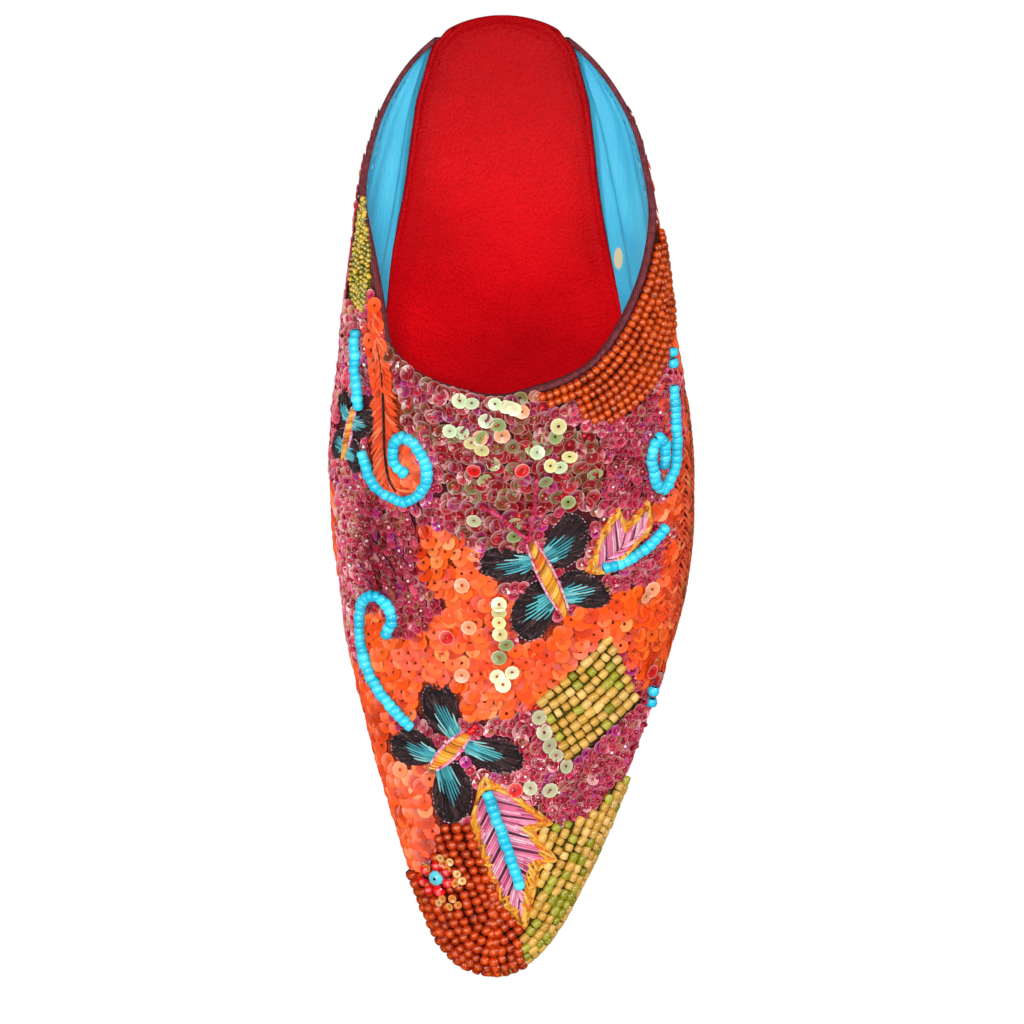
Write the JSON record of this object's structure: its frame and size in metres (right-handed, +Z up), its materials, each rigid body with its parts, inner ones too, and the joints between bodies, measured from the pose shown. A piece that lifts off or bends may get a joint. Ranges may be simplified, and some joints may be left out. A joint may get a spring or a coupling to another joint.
{
  "type": "heeled mule",
  "caption": "Backless pointed mule for the left foot: a bead and sequin covered upper with raised butterflies and leaves, a padded red insole and a small covered heel.",
  "frame": {"origin": "middle of the plan's bounding box, on the floor", "axes": "+Y from the toe to the heel, +X to the outer side of the foot, +Z up"},
  "size_m": [0.0911, 0.2434, 0.0796],
  "materials": {
    "sequinned_cloth": "cloth covered with small cupped sequins, orange and plum",
    "sole_leather": "smooth natural sole leather",
    "red_leather": "fine-grained, semi-matt red leather",
    "heel_rubber": "matt hard rubber",
    "edge_tape": "plum woven edge tape",
    "brown_beads": "glossy opaque seed beads in rows",
    "tan_beads": "glossy opaque seed beads in rows",
    "dark_thread": "satin-stitched thread with blue streaks",
    "pink_thread": "satin-stitched thread with a gold edge"
  },
  "bodies": {
    "root": {"upper": "sequinned_cloth", "outsole": "sole_leather", "insole": "red_leather", "heel": "red_leather", "heel_top_piece": "heel_rubber", "topline_binding": "edge_tape", "toe_bead_patch": "brown_beads", "side_bead_patch": "tan_beads", "kite_bead_patch": "tan_beads", "throat_bead_band": "brown_beads", "butterfly_middle": "dark_thread", "butterfly_front": "dark_thread", "leaf_toe": "pink_thread", "leaf_side": "pink_thread"}
  },
  "joints": []
}
